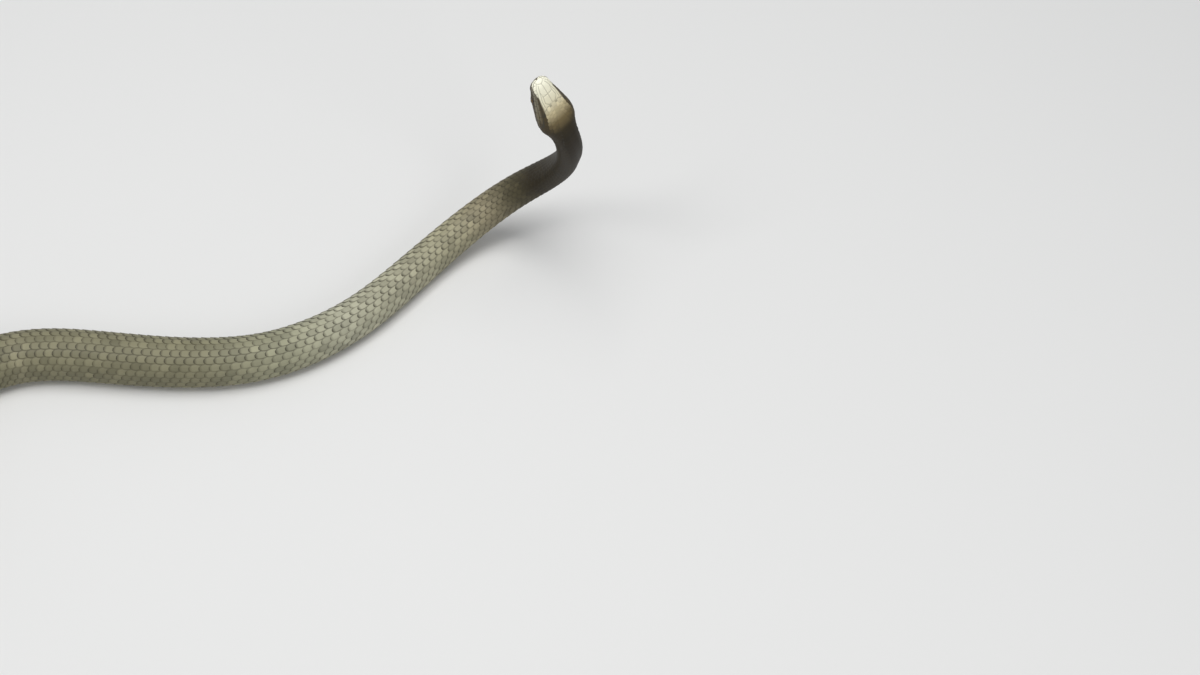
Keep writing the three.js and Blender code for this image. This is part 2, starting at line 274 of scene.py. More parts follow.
# Rows of dorsal scales on each side of the middle row. "starts" says where each row begins
# behind the head's shields. A row fades out between two distances where the body carries
# fewer rows.
rows = {
    "most": 13,
    "starts": [68, 67.5, 63, 56, 54.5, 54, 54, 60, 60, 54, 41, 37, 35, 35],
    "fades": {13: (76, 91), 12: (82, 97), 11: (88, 103), 10: (94, 109), 5: (300, 400),
              6: (300, 400), 3: (3125, 3250), 4: (3125, 3250), 7: (3340, 3480),
              8: (3340, 3480), 1: (3660, 3780), 2: (3660, 3780)},
    "outerRow": 0.7,
    "startFade": (1.2, 1.4),
    "endsBefore": 8,
    "leastWeight": 0.14,
    "widths": {9: 1.15, 8: 1.06},
    "pitchAt": [35, 72, 110, 300, 440, 540, 700, 900, 1800, 2900, 3120, 3400, 3700, 3900],
    "pitch": [4.8, 5.6, 7.4, 11.8, 13.8, 13.4, 12.4, 11.8, 12.6, 12.0, 10.5, 8.6, 6.5, 4.5],
    "lengthShare": 1.62,
    "widthShare": 0.63,
    "slant": [0, 0.10, 0.20, 0.27, 0.30, 0.30, 0.28, 0.22, 0.12, 0, 0, 0, 0, 0],
    "along": [0, 0.2, 0.4, 0.6, 0.78, 0.91, 0.985],
    "across": 7,
    "shoulder": (0.70, 0.30),
    "shoulderUntil": 0.4,
    "taperFrom": 0.5,
    "taperPower": 2.3,
    "tipBulge": 0.015,
    "lift": 1.0,
    "rootSink": 0.16,
    "rimDrop": 0.05,
    "dome": 0.16,
    "domeWave": 0.8,
    "thick": 0.30,
    "underside": -0.10,
    "rim": 0.78,
    "sideShade": 0.5,
    "tipShade": 0.34,
    "darkRows": (1, 2),
    "darkRim": 1.5,
    "paleRow": (0.86, 1.05),
    "paleRowFrom": (300, 450),
    "paleRowShade": 0.35,
    "bareShare": 0.7,
    "toneSpread": 0.2,
    "sharpAngle": 50,
    "pieceEnds": [0, 330, 820, 1370, 1930, 2500, 3200, cobra["length"]],
}


def rowWeights(at):
    weights = np.ones((rows["most"] + 1, len(at)))
    for row, width in rows["widths"].items():
        weights[row] *= width
    for row, (low, high) in rows["fades"].items():
        weights[row] *= 1 - stretch(at, low, high)
    return weights


def rowEdges(at):
    # outer edge of each row as a share of the half girth
    weights = rowWeights(at)
    weights[0] *= 0.5
    total = np.cumsum(weights, axis=0)
    return total / total[-1] * dorsalShare(at)


def scaled(at, share):
    # 0 on the head's shields and 1 where the rows of scales cover the skin
    order = np.arange(rows["most"] + 1)
    row = np.abs(share) / dorsalShare(at) * (rows["most"] + rows["outerRow"])
    start = np.interp(row, order, rows["starts"])
    before, behind = rows["startFade"]
    return stretch(at, start - before, start + behind)


# Every bake map is centred on this height and reaches this far up and down from it
mapMiddle, mapReach = 0.5, 0.49


def addAttribute(mesh, name, values):
    layer = mesh.attributes.new(name, "FLOAT", "POINT")
    layer.data.foreach_set("value", np.ascontiguousarray(values, np.float32))


def makePiece(name, points, faces, material, looks, bakeMap, sharp=None, replaced=()):
    # faces is a list of index arrays, each with its own number of corners. bakeMap has a
    # spot for each point, or for each corner in the order of the faces.
    mesh = bpy.data.meshes.new(name)
    mesh.vertices.add(len(points))
    mesh.vertices.foreach_set("co", (points * mm).astype(np.float32).ravel())
    faces = [f for f in faces if len(f)]
    corners = np.concatenate([f.ravel() for f in faces])
    sizes = np.concatenate([np.full(len(f), f.shape[1]) for f in faces])
    mesh.loops.add(len(corners))
    mesh.loops.foreach_set("vertex_index", corners.astype(np.int32))
    mesh.polygons.add(len(sizes))
    mesh.polygons.foreach_set("loop_start", (np.cumsum(sizes) - sizes).astype(np.int32))
    mesh.update(calc_edges=True)
    mesh.validate()
    for key, values in looks.items():
        addAttribute(mesh, key, values)
    uvs = mesh.uv_layers.new(name="OFBake")
    spots = bakeMap[corners] if len(bakeMap) == len(points) else bakeMap
    uvs.uv.foreach_set("vector", spots.astype(np.float32).ravel())
    mesh.shade_smooth()
    if sharp:
        mesh.set_sharp_from_angle(angle=sharp * degree)
    mesh.materials.append(material)
    piece = bpy.data.objects.new(name, mesh)
    bpy.context.scene.collection.objects.link(piece)
    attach(piece, "root")
    if replaced:
        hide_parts(*replaced)
    print(name, len(points), "points", int((sizes - 2).sum()), "triangles")
    return piece


# Shader sockets that can be added, multiplied and mixed as plain values
class Field:
    def __init__(self, paint, socket):
        self.paint, self.socket = paint, socket

    def do(self, operation, *others):
        node = self.paint.make("ShaderNodeMath", {"operation": operation},
                               dict(enumerate((self, *others))))
        return Field(self.paint, node.outputs[0])

    def __add__(self, other):
        return self.do("ADD", other)

    def __sub__(self, other):
        return self.do("SUBTRACT", other)

    def __mul__(self, other):
        return self.do("MULTIPLY", other)

    def __rsub__(self, other):
        return self.do("MULTIPLY", -1).do("ADD", other)

    __radd__, __rmul__ = __add__, __mul__

    def step(self, low, high):
        node = self.paint.make("ShaderNodeMapRange", {"interpolation_type": "SMOOTHSTEP"},
                               {0: self, 1: low, 2: high})
        return Field(self.paint, node.outputs[0])


class Paint:
    def __init__(self, name):
        self.material = bpy.data.materials.new(name)
        self.material.use_nodes = True
        self.nodes, self.links = self.material.node_tree.nodes, self.material.node_tree.links
        self.nodes.clear()
        self.surface = self.make("ShaderNodeBsdfPrincipled")
        output = self.make("ShaderNodeOutputMaterial")
        self.links.new(self.surface.outputs[0], output.inputs[0])
        self.place = self.make("ShaderNodeTexCoord").outputs["Object"]

    def make(self, kind, settings=None, sockets=None):
        node = self.nodes.new(kind)
        for key, value in (settings or {}).items():
            if key == "stops":
                ramp = node.color_ramp
                while len(ramp.elements) < len(value):
                    ramp.elements.new(0.5)
                for element, (position, colour) in zip(ramp.elements, value):
                    element.position, element.color = position, (*colour, 1)
            else:
                setattr(node, key, value)
        for key, value in (sockets or {}).items():
            self.join(node.inputs[key], value)
        return node

    def join(self, socket, value):
        value = value.socket if isinstance(value, Field) else value
        if isinstance(value, bpy.types.NodeSocket):
            self.links.new(value, socket)
        elif socket.type == "RGBA":
            socket.default_value = (*value, 1)
        else:
            socket.default_value = value

    def look(self, name):
        node = self.make("ShaderNodeAttribute", {"attribute_name": name})
        return Field(self, node.outputs["Fac"])

    def noise(self, scale, detail=2.0, roughness=0.5):
        node = self.make("ShaderNodeTexNoise", {}, {
            "Vector": self.place, "Scale": scale, "Detail": detail, "Roughness": roughness})
        return Field(self, node.outputs[0])

    def ramp(self, factor, stops):
        node = self.make("ShaderNodeValToRGB", {"stops": stops}, {0: factor})
        return Field(self, node.outputs[0])

    def mix(self, factor, first, second):
        node = self.make("ShaderNodeMix", {"data_type": "RGBA"},
                         {0: factor, 6: first, 7: second})
        return Field(self, node.outputs[2])

    def shade(self, colour, value):
        node = self.make("ShaderNodeHueSaturation", {}, {"Value": value, "Color": colour})
        return Field(self, node.outputs[0])

    def bump(self, height, distance, strength=1.0):
        node = self.make("ShaderNodeBump", {}, {
            "Height": height, "Distance": distance, "Strength": strength})
        self.join(self.surface.inputs["Normal"], node.outputs[0])

    def finish(self, **sockets):
        for key, value in sockets.items():
            self.join(self.surface.inputs[key.replace("_", " ")], value)
        return self.material


# Colours along the body in linear values, each with its distance from the snout in mm. The back
# holds painted light and shade: from the snout to about 290 mm it is the head's and neck's own dark
# olive brown deepened by painted shade, and from about 400 to 800 mm it is painted lighter, as
# painted light on the stretch where the body rises off the ground. The belly's near black from
# about 61 to 350 mm is the neck's own dark band deepened by painted shade.
markingsAndPaintedLight = {
    "back": [(0, (0.078, 0.058, 0.029)), (60, (0.066, 0.049, 0.024)),
             (95, (0.024, 0.017, 0.008)), (290, (0.028, 0.021, 0.010)),
             (340, (0.085, 0.073, 0.040)), (400, (0.262, 0.230, 0.146)),
             (480, (0.330, 0.310, 0.205)), (570, (0.385, 0.370, 0.264)),
             (670, (0.405, 0.396, 0.292)), (750, (0.308, 0.302, 0.205)),
             (860, (0.213, 0.200, 0.124)), (1500, (0.205, 0.190, 0.118)),
             (2600, (0.195, 0.172, 0.106)), (3150, (0.120, 0.102, 0.062)),
             (3900, (0.045, 0.038, 0.026))],
    "belly": [(0, (0.93, 0.91, 0.74)), (28, (0.87, 0.82, 0.61)), (42, (0.58, 0.50, 0.31)),
              (56, (0.46, 0.37, 0.20)), (61, (0.17, 0.127, 0.057)), (66, (0.036, 0.027, 0.011)),
              (100, (0.020, 0.014, 0.006)), (270, (0.024, 0.018, 0.008)),
              (350, (0.11, 0.09, 0.052)), (460, (0.42, 0.38, 0.27)), (900, (0.52, 0.49, 0.37)),
              (2400, (0.46, 0.42, 0.30)), (3200, (0.28, 0.25, 0.17)), (3900, (0.10, 0.085, 0.06))],
    "between": (0.040, 0.034, 0.021),
    "bellyEdgeFade": 0.5,
    "stainColour": (0.20, 0.17, 0.11),
    "stainScale": 60,
    "stainEdges": (0.52, 0.75),
    "stainsFrom": (0.16, 0.9),
    "stainStrength": 0.5,
    "bandColour": (0.50, 0.45, 0.31),
    "bandEvery": 82,
    "bandEdges": (0.45, 1.0),
    "bandsFrom": (0.95, 1.3),
    "bandStrength": 0.22,
    "blotchScale": 26,
    "blotchShade": (0.80, 0.40),
    "toneRange": 0.52,
    "throatAt": [0, 2.5, 6, 10, 20, 34, 56, 80],
    "throatEdge": [0.55, 0.80, 1.05, 1.14, 1.34, 1.42, 1.44, 1.46],
    "throatSoft": (0.07, 0.05),
    "throatFade": (60, 105),
    "lipShade": 0.20,
    "lipEdges": (0.86, 0.95, 1.10, 1.25),
    "lipFade": (45, 60),
    "bellySoft": (0.02, 0.01),
}


def snakeColour(paint, edgeName):
    # the colour of skin and coat alike, from what the points carry
    at, belly = paint.look("bodyAt"), paint.look("belly")
    along = at * (1000 / cobra["length"])
    stops = {key: [(position / cobra["length"], colour) for position, colour in markingsAndPaintedLight[key]]
             for key in ("back", "belly")}
    # the back's ramp holds painted light on the rising stretch and painted shade on the head and
    # neck, and the belly's ramp holds painted shade under the neck
    back = paint.ramp(along, stops["back"])
    under = paint.ramp(along, stops["belly"])
    wave = at * (2 * math.pi * 1000 / markingsAndPaintedLight["bandEvery"])
    band = wave.do("SINE").step(*markingsAndPaintedLight["bandEdges"]) * at.step(*markingsAndPaintedLight["bandsFrom"])
    back = paint.mix(band * markingsAndPaintedLight["bandStrength"], back, markingsAndPaintedLight["bandColour"])
    darkest, lighter = markingsAndPaintedLight["blotchShade"]
    back = paint.shade(back, darkest + paint.noise(markingsAndPaintedLight["blotchScale"], 3.0, 0.6) * lighter)
    stained = paint.noise(markingsAndPaintedLight["stainScale"], 3.0, 0.7).step(*markingsAndPaintedLight["stainEdges"])
    stained = stained * at.step(*markingsAndPaintedLight["stainsFrom"]) * markingsAndPaintedLight["stainStrength"]
    under = paint.mix(stained, under, markingsAndPaintedLight["stainColour"])
    colour = paint.mix(belly, back, under)
    tone = paint.look("tone")
    colour = paint.shade(colour, 1 + (tone - 0.5) * markingsAndPaintedLight["toneRange"])
    edge = paint.look(edgeName) * (1 - belly * markingsAndPaintedLight["bellyEdgeFade"])
    return paint.mix(edge, colour, markingsAndPaintedLight["between"]), tone


scaleFinish = {"grain": 900, "bump": 0.00012, "bumpStrength": 0.5, "roughness": 0.45,
               "grainShare": 0.12, "toneShare": 0.06, "gloss": 0.22}
# the last colour of the skin is the colour of painted shade in the mouth line, the nostrils and the
# snout's tip
skinFinish = {"grain": 1400, "bump": 0.0001, "bumpStrength": 0.45, "roughness": 0.38,
              "grainShare": 0.14, "gloss": 0.32, "paintedShadeColour": (0.012, 0.009, 0.006)}


def scalePaint():
    paint = Paint("scalePaint")
    colour, tone = snakeColour(paint, "rim")
    grain = paint.noise(scaleFinish["grain"], 2.0)
    paint.bump(grain, scaleFinish["bump"], scaleFinish["bumpStrength"])
    rough = scaleFinish["roughness"] + grain * scaleFinish["grainShare"]
    return paint.finish(Base_Color=colour, Roughness=rough + tone * scaleFinish["toneShare"],
                        Specular_IOR_Level=scaleFinish["gloss"])


def skinPaint():
    paint = Paint("skinPaint")
    colour = snakeColour(paint, "seam")[0]
    # painted shade darkens the mouth line, the nostrils and the snout's tip
    colour = paint.mix(paint.look("pit"), colour, skinFinish["paintedShadeColour"])
    grain = paint.noise(skinFinish["grain"], 3.0)
    paint.bump(grain, skinFinish["bump"], skinFinish["bumpStrength"])
    rough = skinFinish["roughness"] + grain * skinFinish["grainShare"]
    return paint.finish(Base_Color=colour, Roughness=rough,
                        Specular_IOR_Level=skinFinish["gloss"])


# Lines between the head's shields on the animal's left, as points (at, q). q is 0 on the
# midline of the back, 1 on the lip line and 2 on the midline of the chin. The distances
# are those of a head 84 mm long, and head["scale"] brings them to this one.
shieldLines = {
    "rostral": [(0.5, 1.0), (1.2, 0.55), (3.4, 0.0)],
    "internasalMid": [(3.4, 0.0), (20.6, 0.0)],
    "internasalRear": [(10.5, 0.0), (10.8, 0.34)],
    "internasalSide": [(1.9, 0.33), (6, 0.36), (10.8, 0.34)],
    "nasalTop": [(10.8, 0.34), (13.2, 0.52)],
    "nasalRear": [(13.2, 0.52), (13.6, 0.82)],
    "nasalSplit": [(7.4, 0.36), (7.6, 0.58), (8.0, 0.81)],
    "prefrontalRear": [(20.6, 0.0), (20.4, 0.18), (21.6, 0.34), (22.0, 0.52)],
    "prefrontalSide": [(13.2, 0.52), (22.0, 0.52)],
    "frontalSide": [(20.4, 0.19), (30, 0.17), (34.5, 0.14), (39.5, 0.0)],
    "supraocularRear": [(34.5, 0.14), (35.8, 0.30), (35.2, 0.54)],
    "brow": [(22.0, 0.52), (27.5, 0.555), (35.2, 0.54)],
    "preocularUnder": [(13.6, 0.72), (22.6, 0.70)],
    "postocularRear": [(35.2, 0.54), (37.4, 0.62), (37.2, 0.83)],
    "postocularUpper": [(32.0, 0.65), (37.3, 0.64)],
    "postocularLower": [(32.4, 0.75), (37.3, 0.74)],
    "parietalMid": [(39.5, 0.0), (76.0, 0.0)],
    "parietalSide": [(36.4, 0.54), (48, 0.50), (57, 0.43), (62.5, 0.30)],
    "parietalRear": [(61.5, 0.0), (62.5, 0.30)],
    "occipitalSide": [(62.5, 0.30), (69, 0.30), (74.5, 0.20), (77, 0.0)],
    "temporalMid": [(37.3, 0.68), (66, 0.64)],
    "temporalFirst": [(49, 0.50), (50, 0.66), (49, 0.82)],
    "temporalSecond": [(60, 0.37), (61.5, 0.65), (60.5, 0.83)],
    "labialTop": [(1.4, 0.79), (7, 0.81), (22, 0.83), (27.5, 0.855), (33, 0.84), (50, 0.82),
                  (66.5, 0.86)],
    "infraUnder": [(1.6, 1.46), (8, 1.36), (22, 1.30), (45, 1.28), (59, 1.25)],
    "mental": [(0.9, 1.2), (2.6, 1.55), (5.2, 2.0)],
    "chinMid": [(5.2, 2.0), (38, 2.0)],
    "chinFrontSide": [(5.0, 1.62), (14, 1.52), (22.5, 1.62), (23.5, 2.0)],
    "chinRearSide": [(22.5, 1.62), (33, 1.60), (38.5, 1.80), (39, 2.0)],
    "gularLine": [(14, 1.52), (28, 1.46), (38, 1.52)],
}
upperSutures = [4.4, 10.8, 17.4, 24.6, 32.2, 41.8, 53.5]
lowerSutures = [3.2, 8.6, 14.4, 20.6, 28.4, 37.6, 48.5, 59.5]
for number, at in enumerate(upperSutures):
    shieldLines[f"upperSuture{number}"] = [(at, 0.81), (at + 0.9, 1.02)]
for number, at in enumerate(lowerSutures):
    shieldLines[f"lowerSuture{number}"] = [(at + 0.6, 1.06), (at, 1.31)]
mouthLine = [(0.0, 1.03), (3, 1.045), (12, 1.05), (30, 1.035), (48, 1.055), (58, 1.04), (66, 1.02)]

head = {
    "scale": 0.9,
    "seamDepth": 0.32,
    "seamWidth": 0.38,
    "swell": 0.26,
    "swellReach": 1.2,
    "mouthDepth": 0.95,
    "mouthWidth": 0.56,
    "mouthFade": (50, 62),
    "mouthShade": 0.75,
    "lipSetback": 0.35,
    "lipReach": 2.0,
    "lipFade": (48, 60),
    "nostril": (6.9, 0.60),
    "nostrilRadius": 0.85,
    "nostrilDepth": 1.2,
    "nostrilRim": 0.16,
    "nostrilRimAt": 1.75,
    "nostrilRimReach": 0.45,
    "nostrilShade": (0.25, 0.8),
    "scaledShade": 0.9,
    "snoutShade": (0.5, 0.8),
    "lineStep": 0.22,
    "lineSpan": 32,
    "leastAt": 0.02,
}

# The rim's reach, the socket's edge and the creases are shares of the eye's radius, measured
# from its axis. The rest is in millimetres and degrees.
eye = {
    "at": 24.8,
    "angle": 71,
    "radius": 4.3,
    "standOut": 1.5,
    "turnAhead": 0.12,
    "rings": 40,
    "sides": 56,
    "rimHeight": 0.32,
    "rimReach": 0.16,
    "socketDepth": 0.95,
    "socketEdge": (0.68, 0.87),
    "crease": (0.83, 0.10),
    "outerCrease": (1.19, 0.08),
    "outerCreaseShade": 0.85,
    "outerCreaseUntil": 30,
    "clearance": 0.02,
}


def chartAngle(at, q):
    lip = shareOf(at, np.full_like(at, 90.0))
    return angleOf(at, np.where(q <= 1, q * lip, lip + (q - 1) * (1 - lip)))


def lineOnHead(points):
    # closely spaced points of one line on both sides of the head
    spots = []
    for (at0, q0), (at1, q1) in zip(points[:-1], points[1:]):
        size = math.hypot(at1 - at0, (q1 - q0) * head["lineSpan"])
        share = np.linspace(0, 1, max(2, int(size / head["lineStep"])))
        spots.append(np.stack([at0 + (at1 - at0) * share, q0 + (q1 - q0) * share], 1))
    at, q = np.concatenate(spots).T
    at = np.maximum(at * head["scale"], head["leastAt"])
    angle = chartAngle(np.maximum(at, shareStations[0]), q)
    return np.concatenate([surface(at, angle), surface(at, -angle)])


def nearest(points, targets):
    tree = kdtree.KDTree(len(targets))
    for index, spot in enumerate(targets):
        tree.insert(spot, index)
    tree.balance()
    return np.array([tree.find(p)[2] for p in points])


def eyeAxis(sign):
    at, angle = np.array([eye["at"]]), np.array([sign * eye["angle"]], float)
    middle, out = surface(at, angle)[0], outward(at, angle)[0]
    return middle + out * (eye["standOut"] - eye["radius"]), out


def bell(distance, reach):
    return np.exp(-(distance / reach) ** 2)


def headDetail(at, angle, share):
    # how far the head's skin stands out from its plain surface, with its two masks, the second of
    # them painted shade in the mouth line and the nostrils
    base = surface(at, angle)
    lines = np.concatenate([lineOnHead(points) for points in shieldLines.values()])
    gap = nearest(base, lines)
    mouthGap = nearest(base, lineOnHead(mouthLine))
    bare = 1 - scaled(at, share)
    seam = bell(gap, head["seamWidth"]) * bare
    mouth = bell(mouthGap, head["mouthWidth"]) * (1 - stretch(at, *head["mouthFade"]))
    lift = head["swell"] * (1 - bell(gap, head["swellReach"])) * bare
    lift -= head["seamDepth"] * seam + head["mouthDepth"] * mouth
    lip = np.abs(shareOf(at, np.full_like(at, 90.0)))
    belowLip = (np.abs(share) > lip) * bell(mouthGap, head["lipReach"])
    lift -= head["lipSetback"] * (belowLip * (1 - stretch(at, *head["lipFade"])))
    # painted shade along the groove of the mouth line
    pit = head["mouthShade"] * mouth
    for sign in (1, -1):
        nostrilAt = np.array([head["nostril"][0]])
        nostrilAngle = sign * chartAngle(nostrilAt, np.array([head["nostril"][1]]))
        reach = np.linalg.norm(base - surface(nostrilAt, nostrilAngle)[0], axis=1)
        hole = bell(reach, head["nostrilRadius"])
        rim = bell(reach - head["nostrilRimAt"], head["nostrilRimReach"])
        lift += head["nostrilRim"] * rim - head["nostrilDepth"] * hole
        # painted shade in each nostril's hole
        pit = np.maximum(pit, stretch(hole, *head["nostrilShade"]))
        centre, out = eyeAxis(sign)
        offset = base - centre
        depth = offset @ out
        radial = np.linalg.norm(offset - depth[:, None] * out, axis=1) / eye["radius"]
        near = depth > 0
        lift += near * (eye["rimHeight"] * bell(radial - 1, eye["rimReach"])
                        - eye["socketDepth"] * (1 - stretch(radial, *eye["socketEdge"])))
        (creaseAt, reach), (outerAt, outerReach) = eye["crease"], eye["outerCrease"]
        seam = np.maximum(seam, near * bell(radial - creaseAt, reach))
        outer = near * eye["outerCreaseShade"] * bell(radial - outerAt, outerReach)
        seam = np.maximum(seam, outer * (at < eye["outerCreaseUntil"]))
    return lift, np.maximum(seam, head["scaledShade"] * (1 - bare)), pit


def bellyMask(at, share):
    # 0 on the back and 1 on the throat and belly, with paler lips
    lip = np.abs(shareOf(at, np.full_like(at, 90.0)))
    q = np.where(np.abs(share) < lip, np.abs(share) / lip, 1 + (np.abs(share) - lip) / (1 - lip))
    edge = np.interp(at, markingsAndPaintedLight["throatAt"], markingsAndPaintedLight["throatEdge"])
    above, below = markingsAndPaintedLight["throatSoft"]
    throat = stretch(q, edge - above, edge + below)
    lips = markingsAndPaintedLight["lipShade"] * stretch(q, *markingsAndPaintedLight["lipEdges"][:2])
    lips = lips * (1 - stretch(q, *markingsAndPaintedLight["lipEdges"][2:]))
    lips = lips * (1 - stretch(at, *markingsAndPaintedLight["lipFade"]))
    above, below = markingsAndPaintedLight["bellySoft"]
    body = stretch(np.abs(share), dorsalShare(at) - above, dorsalShare(at) + below)
    blend = stretch(at, *markingsAndPaintedLight["throatFade"])
    return np.maximum(throat, lips) * (1 - blend) + body * blend


# The skin's rings: fine on the head, and coarser where the scales cover it
rings = {
    "noseCount": 26,
    "noseShare": 0.55,
    "fineStep": 0.46,
    "fineUntil": 84,
    "fineSides": 288,
    "sides": 48,
    "firstGap": 2,
    "neckStep": 3.0,
    "neckUntil": 200,
    "bodyFrom": 203,
    "bodyStep": 6.0,
    "bodyUntil": cobra["length"] - 40,
    "tipFrom": cobra["length"] - 38,
    "tipUntil": cobra["length"] - 2,
    "last": [cobra["length"] - 1.4, cobra["length"] - 0.4],
    "snoutSink": 0.9,
    "mapHeadUntil": 90,
    "mapHeadShare": 0.6,
    "mapBodyShare": 0.38,
    "mapEdge": 0.01,
}


def flatGrid(rowValues, columnValues):
    return (g.ravel() for g in np.meshgrid(rowValues, columnValues, indexing="ij"))


def shareGrid(ringAt, sides):
    at, share = flatGrid(ringAt, np.arange(sides) / sides * 2 - 1)
    return at, share, angleOf(np.maximum(at, shareStations[0]), share)


def ringQuads(first, ringCount, sides):
    # the quads between neighbouring rings, which begin at the point with the index first
    row, column = flatGrid(np.arange(ringCount - 1), np.arange(sides))
    here, after = first + row * sides + column, first + row * sides + (column + 1) % sides
    return np.stack([here, here + sides, after + sides, after], 1)


def ringCap(centre, firstOfRing, sides):
    # the triangles from one point to all of a ring
    column = np.arange(sides)
    return np.stack([centre + 0 * column, firstOfRing + column,
                     firstOfRing + (column + 1) % sides], 1)


def buildSkin(material, replaced):
    quarter = np.arange(1, rings["noseCount"]) / rings["noseCount"] * math.pi / 2
    noseAt = cobra["noseRound"] * (1 - np.cos(quarter)) * rings["noseShare"]
    fineAt = np.arange(noseAt[-1] + rings["fineStep"], rings["fineUntil"], rings["fineStep"])
    fineAt = np.concatenate([noseAt, fineAt])
    neckFrom = fineAt[-1] + rings["firstGap"]
    coarseAt = np.concatenate([np.arange(neckFrom, rings["neckUntil"], rings["neckStep"]),
                               np.arange(rings["bodyFrom"], rings["bodyUntil"], rings["bodyStep"]),
                               np.arange(rings["tipFrom"], rings["tipUntil"], rings["neckStep"]),
                               rings["last"]])
    sides, few = rings["fineSides"], rings["sides"]

    at, share, angle = shareGrid(fineAt, sides)
    lift, seam, pit = headDetail(at, angle, share)
    tailAt, tailShare, tailAngle = shareGrid(coarseAt, few)
    allAt = np.concatenate([[0.0], at, tailAt, [cobra["length"]]])
    allShare = np.concatenate([[0.0], share, tailShare, [0.0]])
    allAngle = np.concatenate([[90.0], angle, tailAngle, [0.0]])
    blank = np.zeros(len(tailAt))
    lift = np.concatenate([[lift[:sides].mean()], lift, blank, [0]]) - coatDepth(allAt)
    covered, (snoutSeam, snoutPaintedShade) = head["scaledShade"], head["snoutShade"]
    seam = np.concatenate([[snoutSeam], seam, blank + covered, [covered]])
    # painted shade also darkens the snout's sunken middle point
    pit = np.concatenate([[snoutPaintedShade], pit, blank, [0]])
    points = surface(allAt, allAngle) + outward(allAt, allAngle) * lift[:, None]
    points[0] = surface(0.0, 90.0) - bellyFrame(np.array([0.0]))[1][0] * rings["snoutSink"]

    fineFirst, coarseFirst, tip = 1, 1 + len(at), len(allAt) - 1
    quads = [ringQuads(fineFirst, len(fineAt), sides), ringQuads(coarseFirst, len(coarseAt), few)]
    triangles = [ringCap(0, fineFirst, sides)]
    # the fine rings of the head meet the body's with a fan to each wider cell
    ratio, lastFine = sides // few, coarseFirst - sides
    half = ratio // 2
    for cell in range(few):
        near, far = coarseFirst + cell, coarseFirst + (cell + 1) % few
        edge = [lastFine + (cell * ratio + k) % sides for k in range(ratio + 1)]
        fan = [(near, edge[k + 1], edge[k]) for k in range(half)]
        fan += [(far, edge[k + 1], edge[k]) for k in range(half, ratio)]
        fan += [(near, far, edge[half])]
        triangles.append(np.array(fan))
    triangles.append(ringCap(tip, tip - few, few)[:, [0, 2, 1]])
    looks = {"bodyAt": allAt * mm, "tone": np.full(len(allAt), 0.5), "seam": seam, "pit": pit,
             "belly": bellyMask(np.maximum(allAt, cobra["shortStep"]), allShare)}
    # the map gives the head most of its room, and its far edge meets share 1 instead of -1
    faces = [np.concatenate(triangles), np.concatenate(quads)]
    headEnd, headShare = rings["mapHeadUntil"], rings["mapHeadShare"]
    bodyLength = cobra["length"] - headEnd
    bakeMap = []
    for corners in faces:
        around, ahead = allShare[corners], allAt[corners]
        crosses = (around.max(axis=1) - around.min(axis=1) > 1)[:, None]
        around = np.where(crosses & (around < 0), around + 2, around)
        along = np.where(ahead < headEnd, ahead / headEnd * headShare,
                         headShare + (ahead - headEnd) / bodyLength * rings["mapBodyShare"])
        spots = np.stack([along + rings["mapEdge"], mapMiddle + around * mapReach], -1)
        bakeMap.append(spots.reshape(-1, 2))
    bakeMap = np.concatenate(bakeMap)
    return makePiece("skin", points, faces, material, looks, bakeMap, replaced=replaced)


def plateStations():
    # where each belly plate begins: one for each step of the scale rows
    places = [float(rows["pitchAt"][0])]
    while places[-1] < cobra["length"] - plates["endsBefore"]:
        places.append(places[-1] + np.interp(places[-1], rows["pitchAt"], rows["pitch"]))
    return np.array(places)


# In the bake map a tile's patch is its own place on the body's unwrap. The walls are a thin
# ring round the upper face, and the underside has a small corner of its own.
tileMap = {
    "patch": 0.8,
    "ring": 1.09,
    "corner": (0.95, 0.9),
    "cornerSize": 0.04,
    "edge": 0.005,
    "length": 0.99,
    "bellySpread": 2.8,
}


def tileTemplate(u, v, height, rim, thick, floorHeight):
    # A closed tile from the grid of its upper face, with walls and an underside: u along it,
    # v across it, rim how strongly the edge colour shows.
    index = np.arange(u.size).reshape(u.shape)
    upper = np.stack([index[:-1, :-1], index[1:, :-1], index[1:, 1:], index[:-1, 1:]], -1)
    upper = upper.reshape(-1, 4)
    loop = np.concatenate([index[0, :], index[1:, -1], index[-1, -2::-1], index[-2:0:-1, 0]])
    count = len(loop)
    under, after = u.size + np.arange(count), np.roll(np.arange(count), -1)
    walls = np.stack([loop, loop[after], under[after], under], 1)
    floor = np.stack([np.full(count, u.size + count), under, under[after]], 1)
    alongGrid, acrossGrid = np.meshgrid(np.linspace(0, 1, u.shape[0]),
                                        np.linspace(-1, 1, u.shape[1]), indexing="ij")
    patch, place = tileMap["patch"], np.array(tileMap["corner"])
    spots = np.stack([alongGrid.ravel() * patch, acrossGrid.ravel() * patch], 1)
    middle = np.array([patch / 2, 0])
    ring = middle + (spots[loop] - middle) * tileMap["ring"]
    corner = place + (spots[loop] - middle) * tileMap["cornerSize"]
    spots = np.concatenate([spots, ring])
    quadSpots = spots[np.concatenate([upper, walls])]
    floorSpots = np.stack([np.broadcast_to(place, corner.shape), corner, corner[after]], 1)
    flat = {name: grid.ravel() for name, grid in (("u", u), ("v", v), ("h", height))}
    return {
        "u": np.concatenate([flat["u"], flat["u"][loop], [0.5]]),
        "v": np.concatenate([flat["v"], flat["v"][loop], [0]]),
        "h": np.concatenate([flat["h"], flat["h"][loop] - thick, [floorHeight]]),
        "rim": np.concatenate([rim.ravel().astype(float), np.ones(count + 1)]),
        "quads": np.concatenate([upper, walls]), "triangles": floor,
        "quadSpots": quadSpots, "triangleSpots": floorSpots,
    }


